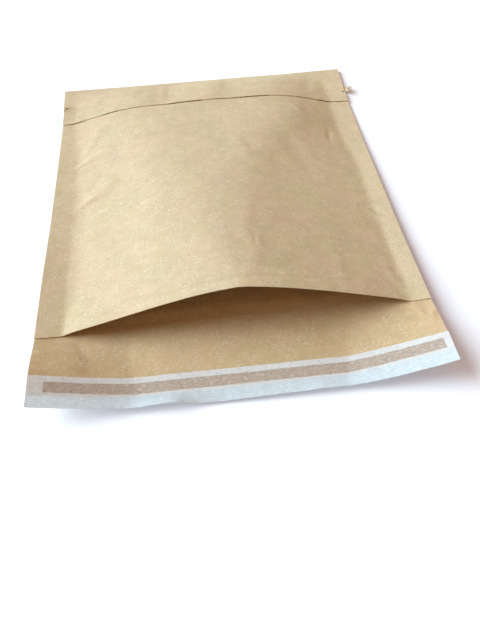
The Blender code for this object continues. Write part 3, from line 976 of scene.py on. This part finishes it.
    def build(self) -> None:
        """Makes both sheets in kraft with paler cut edges."""
        outside, inside, edge = KRAFT.material(), KRAFT_INSIDE.material(), KRAFT_EDGE.material()
        wrap = paper_object("kraft_wrap", [self.wrap()], (outside, inside, edge))
        place(wrap, "back_panel", "kraft")
        front = paper_object("kraft_front", [self.front_sheet()], (inside, outside, edge))
        place(front, "front_panel", "kraft")


@dataclass
class Padding:
    """The two lined pads inside the pocket, crimped thin round their borders."""

    form: MailerForm
    near: float
    far: float
    side: float
    thickness: float = 0.0022
    rim: float = 0.0003
    crimp: float = 0.010
    foot_margin: float = 0.006
    step: float = 0.0028
    lump: float = 0.00035
    lump_size: float = 0.011

    def grid(self) -> tuple[Points, Points, Points]:
        """Lays out a pad.

        Its sides follow the bulge's feet where these pinch in. The thickness eases from the rim
        to the full pad over the crimp, with soft lumps, and never takes more than half the room
        in the pocket.

        Returns:
            The columns, rows and thickness at each point.
        """
        form = self.form
        across = np.linspace(-1, 1, round(2 * self.side * form.half_width / self.step))
        along = np.linspace(self.near, self.far, round((self.far - self.near) / self.step))
        t, y = np.meshgrid(across, along)
        inside = (np.abs(form.foot(t > 0, y)) - self.foot_margin) / form.half_width
        u = t * np.minimum(self.side, inside)
        from_side = (1 - np.abs(t)) * self.side * form.half_width
        ramp = ease(np.minimum(from_side, np.minimum(y - self.near, self.far - y)) / self.crimp)
        lumps = self.lump * soft_noise(u * form.half_width, y, self.lump_size, 41)
        padded = self.rim + (self.thickness - self.rim + lumps) * ramp
        thickness = np.minimum(padded, form.pad_room(u, y))
        LOG.info("pads are at least %.2f mm thick", thickness.min() / MILLIMETRE)
        return u, y, thickness

    def build(self) -> None:
        """Makes both pads in kraft lining paper."""
        form = self.form
        u, y, thickness = self.grid()
        flat = np.stack([u * form.half_width, y], axis=-1)
        lining = LINING.material()
        under, over = form.on_back(u, y, form.ply), form.on_back(u, y, form.ply + thickness)
        back = paper_object("back_pad", [Sheet(under, over, flat + 2 * APART)], (lining,))
        place(back, "back_padding", "kraft_lining")
        under, over = form.on_front(u, y, -form.clearance - thickness), form.on_front(u, y, -form.clearance)
        front = paper_object("front_pad", [Sheet(under, over, flat + 3 * APART)], (lining,))
        place(front, "front_padding", "kraft_lining")


@dataclass
class ClosureStrip:
    """The glue band near the closure flap's edge and the glassine liner over it."""

    form: MailerForm
    flap_edge: float
    glue_near: float
    glue_far: float
    glue_left: float
    glue_right: float
    glue: float = 0.0002
    liner: float = 0.0002
    free_edge: tuple[Station, ...] = millimetres(
        (-158, 0.7), (-130, 1.2), (-113, 1.8), (-102, 2.2), (-91, 2.5), (-86, 2.9), (-79, 4.0), (-67, 5.2),
        (-56, 5.7), (-50, 5.0), (-44, 3.4), (-32, 1.3), (-20, 0.1), (-9, 0.5), (3, 0.8), (15, 1.6),
        (33, 2.1), (45, 2.5), (57, 3.4), (75, 3.0), (93, 2.0), (110, 1.0), (122, 0.3), (158, 0.0)
    )
    ripple: float = 0.00025
    ripple_size: float = 0.012
    step: float = 0.0017
    glue_rows: int = 9
    liner_rows: int = 25

    def spring(self, u: Points, y: Points) -> Points:
        """Rise of the liner's free edge: its waves and fine ripples, growing from the glue on."""
        x = u * self.form.half_width
        free = ease((self.glue_near - y) / (self.glue_near - self.form.liner_near))
        waves = smooth_curve(self.free_edge, x)
        return free * (waves + self.ripple * (1 + soft_noise(x, y, self.ripple_size, 61)))

    def build(self) -> None:
        """Makes the glue band and the liner."""
        form = self.form
        left, right = (x / form.half_width for x in (self.glue_left, self.glue_right))
        count = round((self.glue_right - self.glue_left) / self.step)
        along = np.linspace(self.glue_near, self.glue_far, self.glue_rows)
        u, y = np.meshgrid(np.linspace(left, right, count), along)
        flat = np.stack([u * form.half_width, y], axis=-1)
        sheet = Sheet(form.on_back(u, y, form.ply), form.on_back(u, y, form.ply + self.glue), flat)
        glue = GlueFinish().material()
        place(paper_object("closure_glue_band", [sheet], (glue,)), "closure_adhesive", "closure_glue")
        count = round(2 * form.half_width / self.step)
        along = np.linspace(form.liner_near, form.liner_far, self.liner_rows)
        u, y = np.meshgrid(np.linspace(-1, 1, count), along)
        base = form.ply + form.clearance + self.glue + self.spring(u, y)
        flat = np.stack([u * form.half_width, y], axis=-1)
        sheet = Sheet(form.on_back(u, y, base), form.on_back(u, y, base + self.liner), flat)
        glassine = GlassineFinish().material(self)
        place(paper_object("glassine_liner", [sheet], (glassine,)), "release_liner", "glassine")


@dataclass
class TearTape:
    """The paper tape under the bottom flap and its frayed pull end past the right seam."""

    form: MailerForm
    line: float
    start: float
    width: float = TAPE_WIDTH
    thickness: float = 0.0003
    strands: int = 16
    fibres: int = 20
    strand_length: float = 0.0135
    strand_drop: float = 0.0050
    strand_tuck: float = 0.0022
    strand_steps: int = 14
    ribbon_stray: float = 0.0015
    fibre_stray: float = 0.0020
    fibre_width: float = 0.00025
    curl: float = 2.7
    squash: float = 0.7
    seed: int = 23
    rows: int = 7
    columns: int = 150

    def strip(self) -> Sheet:
        """The tape itself, on the front panel from the left nick to the right seam."""
        form = self.form
        across = np.linspace(self.start / form.half_width, 1, self.columns)
        along = np.linspace(-0.5, 0.5, self.rows) * self.width + self.line
        u, y = np.meshgrid(across, along)
        flat = np.stack([u * form.half_width, y + 4 * APART], axis=-1)
        over = form.on_front(u, y, form.ply + self.thickness)
        return Sheet(form.on_front(u, y, form.ply), over, flat)

    def strand(self, place_y: float, length: float, width: float, turn: float, spread: float) -> Sheet:
        """A torn ribbon that leaves the seam, rises and curls back over itself.

        Its heading in the XZ plane turns faster and faster from level by turn radians, so that
        its path is the running sum of the heading's cosine and sine, pressed low by squash, and
        it drifts by spread along Y.

        Args:
            place_y: where along the mailer it leaves the tape.
            length: its length laid flat.
            width: its width at the root; it narrows by 0.55 of the squared share of its length.
            turn: how far it turns, in radians.
            spread: how far its tip drifts along Y.

        Returns:
            The ribbon as a closed sheet.
        """
        steps = self.strand_steps
        t = np.linspace(0, 1, steps)
        heading = turn * t**2.2 - 0.1
        stride = length / (steps - 1)
        x = np.cumsum(np.cos(heading)) * stride
        z = np.cumsum(np.sin(heading)) * stride * self.squash
        root = self.form.on_front(np.array(1.0), np.array(place_y), self.form.ply)
        along = root[1] - self.strand_drop * t + spread * t**1.4
        centre = np.stack([root[0] - self.strand_tuck + x, along, root[2] + z], axis=-1)
        half = width / 2 * (1 - 0.55 * t**2)
        aside = np.stack([np.zeros(steps), half, 0.25 * half * np.sin(5 * t)], axis=-1)
        normal = np.stack([-np.sin(heading), np.zeros(steps), np.cos(heading)], axis=-1)
        sides = centre[None] + np.array([-1, 1])[:, None, None] * aside[None]
        flat = np.stack(np.broadcast_arrays(t[None] * length, place_y + np.array([[0], [1]]) * width), -1)
        return Sheet(sides, sides + self.thickness * 0.8 * normal[None], flat)

    def build(self) -> None:
        """Makes the strip, its torn ribbons and the fine fibres between them."""
        rng = np.random.default_rng(self.seed)
        sheets = [self.strip()]
        for number in range(self.strands):
            offset = (number / (self.strands - 1) - 0.5) * self.width
            length = self.strand_length * rng.uniform(0.55, 0.95)
            turn = self.curl * rng.uniform(0.4, 1.25)
            spread = offset * 0.3 + rng.uniform(-self.ribbon_stray, self.ribbon_stray)
            sheets.append(self.strand(self.line + offset, length, rng.uniform(0.0010, 0.0021), turn, spread))
        for _ in range(self.fibres):
            offset = rng.uniform(-0.5, 0.5) * self.width
            length = self.strand_length * rng.uniform(0.5, 1.05)
            turn = self.curl * rng.uniform(0.2, 1.3)
            spread = offset * 0.7 + rng.uniform(-self.fibre_stray, self.fibre_stray)
            sheets.append(self.strand(self.line + offset, length, self.fibre_width, turn, spread))
        paper = TAPE_PAPER.material()
        place(paper_object("tear_tape_strip", sheets, (paper,)), "tear_tape", "tear_tape")


@dataclass
class Studio:
    """Plain pale floor, soft light from the left and a camera at the photograph's angle."""

    position: tuple[float, float, float] = (-0.0226, -0.3556, 0.4190)
    yaw_deg: float = 4.23
    pitch_deg: float = -49.06
    roll_deg: float = -2.50
    lens: float = 38.25
    floor_size: float = 8.0
    floor_drop: float = 0.0003
    sun_azimuth_deg: float = -76.0
    sun_elevation_deg: float = 31.0
    sun_softness_deg: float = 50.0
    sun_level: float = 1.69
    sky_level: float = 0.402
    sun_colour: str = "#D8F0FF"
    sky_colour: str = "#FFCB9A"
    floor_colour: str = "#F4F4F2"
    # painted glow: to the camera only, the floor gives off a faint blue light of its own, which lifts and
    # cools its shadow
    painted_floor_glow: float = 0.20
    painted_glow_colour: str = "#A9CBFF"

    def camera(self) -> None:
        """A camera turned by yaw, pitch and roll from looking along +Y."""
        yaw, pitch, roll = (math.radians(a) for a in (self.yaw_deg, self.pitch_deg, self.roll_deg))
        ahead = Vector((math.sin(yaw) * math.cos(pitch), math.cos(yaw) * math.cos(pitch), math.sin(pitch)))
        level = Vector((math.cos(yaw), -math.sin(yaw), 0))
        above = level.cross(ahead)
        right = math.cos(roll) * level + math.sin(roll) * above
        up = math.cos(roll) * above - math.sin(roll) * level
        data = bpy.data.cameras.new("photo_camera")
        data.lens = self.lens
        data.clip_start, data.clip_end = 0.01, 100
        camera = bpy.data.objects.new("photo_camera", data)
        turned = Matrix((right, up, -ahead)).transposed().to_4x4()
        camera.matrix_world = Matrix.Translation(self.position) @ turned
        bpy.context.scene.collection.objects.link(camera)
        bpy.context.scene.camera = camera

    def floor(self) -> None:
        """A wide level plane just under the mailer, plain white to the camera where it is lit, with a faint
        blue painted glow, seen only by the camera, that lifts and cools its shadow.
        """
        half = self.floor_size / 2
        mesh = bpy.data.meshes.new("floor")
        ring = ((-half, -half), (half, -half), (half, half), (-half, half))
        mesh.from_pydata([(x, y, -self.floor_drop) for x, y in ring], [], [(0, 1, 2, 3)])
        material, tree, output = new_material("pale_floor")
        seen = self.seen(tree)
        colour = KraftFinish.blend(tree, seen, self.floor_colour, "#FFFFFF")
        paper = add_node(tree, "ShaderNodeBsdfDiffuse", {"Color": colour})
        # painted glow: a faint blue emission, seen only by the camera, lightens the floor's shadow and takes
        # the brown out of it
        level = add_node(tree, "ShaderNodeMath", {0: seen, 1: self.painted_floor_glow}, operation="MULTIPLY")
        painted_glow_inputs = {"Color": linear(self.painted_glow_colour), "Strength": level.outputs[0]}
        painted_glow = add_node(tree, "ShaderNodeEmission", painted_glow_inputs)
        shader = add_node(tree, "ShaderNodeAddShader", {0: paper.outputs[0], 1: painted_glow.outputs[0]})
        tree.links.new(shader.outputs[0], output.inputs["Surface"])
        mesh.materials.append(material)
        floor = bpy.data.objects.new("floor", mesh)
        bpy.context.scene.collection.objects.link(floor)

    @staticmethod
    def seen(tree: Tree) -> Socket:
        """1 for a ray that shows the surface in the picture, directly, mirrored or through glass."""
        path = add_node(tree, "ShaderNodeLightPath")
        share = path.outputs["Is Camera Ray"]
        for name in ("Is Glossy Ray", "Is Transmission Ray"):
            pair = {0: share, 1: path.outputs[name]}
            share = add_node(tree, "ShaderNodeMath", pair, operation="MAXIMUM").outputs[0]
        return share

    def light(self) -> None:
        """One wide sun from the left and an even sky, which together light the floor at about 1."""
        data = bpy.data.lights.new("window", "SUN")
        data.energy = self.sun_level * math.pi
        data.angle = math.radians(self.sun_softness_deg)
        data.color = linear(self.sun_colour)[:3]
        azimuth, elevation = math.radians(self.sun_azimuth_deg), math.radians(self.sun_elevation_deg)
        level = math.cos(elevation)
        towards = Vector((math.sin(azimuth) * level, math.cos(azimuth) * level, math.sin(elevation)))
        sun = bpy.data.objects.new("window", data)
        sun.rotation_mode = "QUATERNION"
        sun.rotation_quaternion = towards.to_track_quat("Z", "Y")
        bpy.context.scene.collection.objects.link(sun)
        world = bpy.data.worlds.new("sky")
        bpy.context.scene.world = world
        world.use_nodes = True
        tree = world.node_tree
        tree.nodes.clear()
        seen = self.seen(tree)
        colour = KraftFinish.blend(tree, seen, self.sky_colour, "#FFFFFF")
        level = add_node(tree, "ShaderNodeMapRange", {0: seen, 3: self.sky_level, 4: 1.0}).outputs[0]
        background = add_node(tree, "ShaderNodeBackground", {"Color": colour, "Strength": level})
        output = add_node(tree, "ShaderNodeOutputWorld")
        tree.links.new(background.outputs[0], output.inputs["Surface"])

    def build(self) -> None:
        """Sets up the view, the floor and the light."""
        bpy.context.scene.view_settings.view_transform = "Standard"
        self.camera()
        self.floor()
        self.light()


def corners(low: Vector, high: Vector) -> list[list[float]]:
    """Two corners of a box as plain lists."""
    return [list(low), list(high)]


def main() -> None:
    """Builds the mailer's pieces on the frame, then the studio."""
    logging.basicConfig(level=logging.INFO, format="%(name)s %(message)s")
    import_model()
    wrap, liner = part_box("back_panel"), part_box("release_liner")
    glue, tape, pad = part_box("closure_adhesive"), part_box("tear_tape"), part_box("back_padding")
    form = MailerForm(
        half_width=round(wrap[1].x, 4),
        body_length=round(wrap[1].y, 4),
        bottom_flap=BOTTOM_FLAP,
        liner_near=liner[0].y,
        liner_far=liner[1].y,
    )
    tape_line = form.body_length - TAPE_FROM_FOLD
    KraftShell(form, flap_edge=wrap[0].y, tape_line=tape_line, tape_half=TAPE_WIDTH / 2).build()
    Padding(form, near=pad[0].y, far=pad[1].y, side=pad[1].x / (form.half_width - PAD_SIDE_PULL)).build()
    strip = ClosureStrip(
        form, wrap[0].y, glue_near=glue[0].y, glue_far=glue[1].y, glue_left=glue[0].x, glue_right=glue[1].x
    )
    strip.build()
    TearTape(form, line=tape_line, start=tape[0].x).build()
    Studio().build()


if __name__ == "__main__":
    main()
